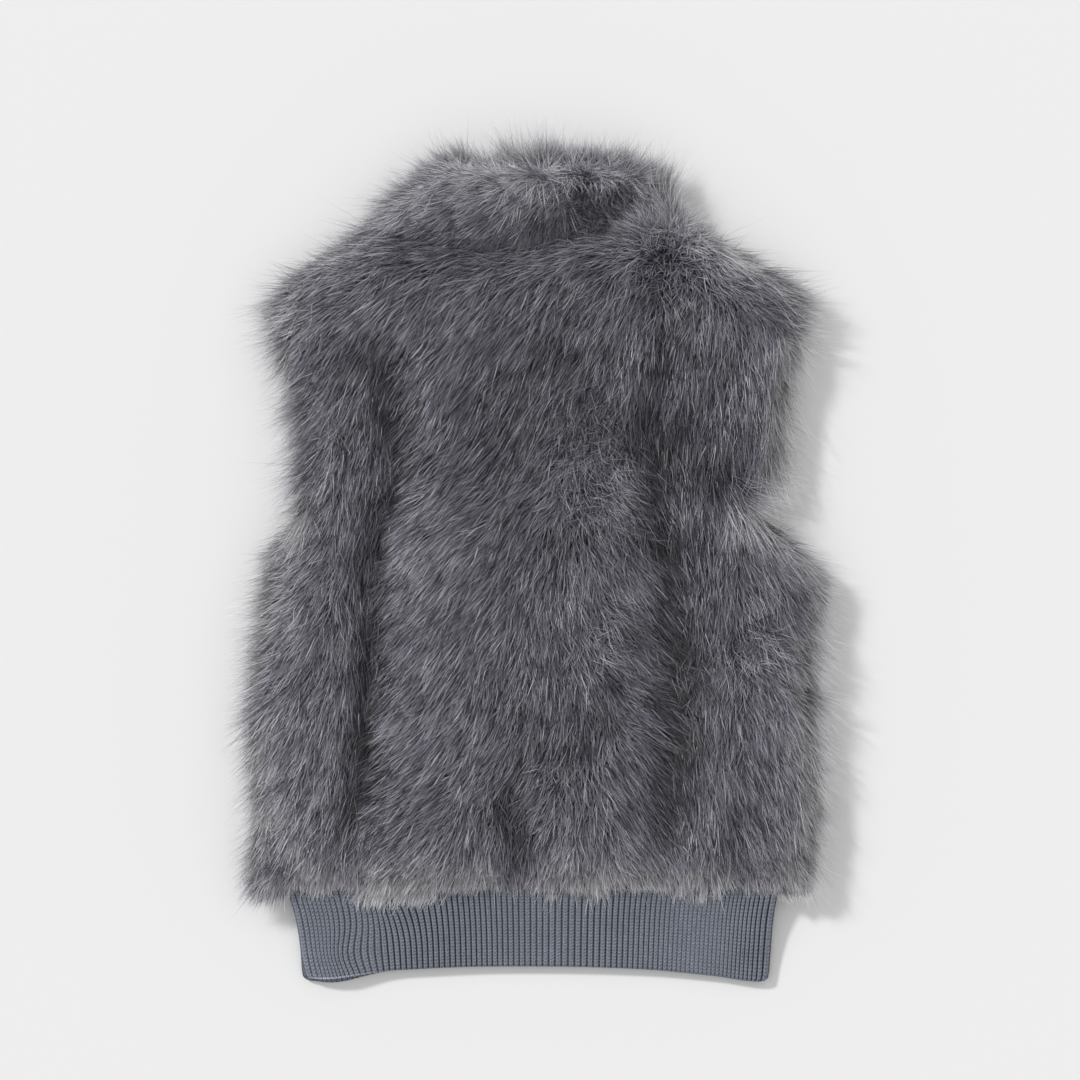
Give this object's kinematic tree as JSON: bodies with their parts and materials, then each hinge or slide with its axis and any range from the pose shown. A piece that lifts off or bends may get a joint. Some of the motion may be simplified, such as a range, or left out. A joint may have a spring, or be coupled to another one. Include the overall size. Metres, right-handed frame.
{
  "type": "faux-fur vest",
  "caption": "Sleeveless long-pile faux-fur vest with a stand collar and a rib-knit waistband, laid flat with its back up.",
  "frame": {"origin": "on the surface that it lies on, under the middle of its bounding box", "axes": "+Y towards the collar, +Z away from the surface, out of the back, and +X to the wearer's right"},
  "size_m": [0.4824, 0.683, 0.0594],
  "materials": {
    "faux_fur": "grey long-pile faux fur",
    "rib_knit": "blue-grey 1x1 rib knit"
  },
  "bodies": {
    "root": {"back": "faux_fur", "front_left": "faux_fur", "front_right": "faux_fur", "collar": "faux_fur", "waistband": "rib_knit"}
  },
  "joints": []
}
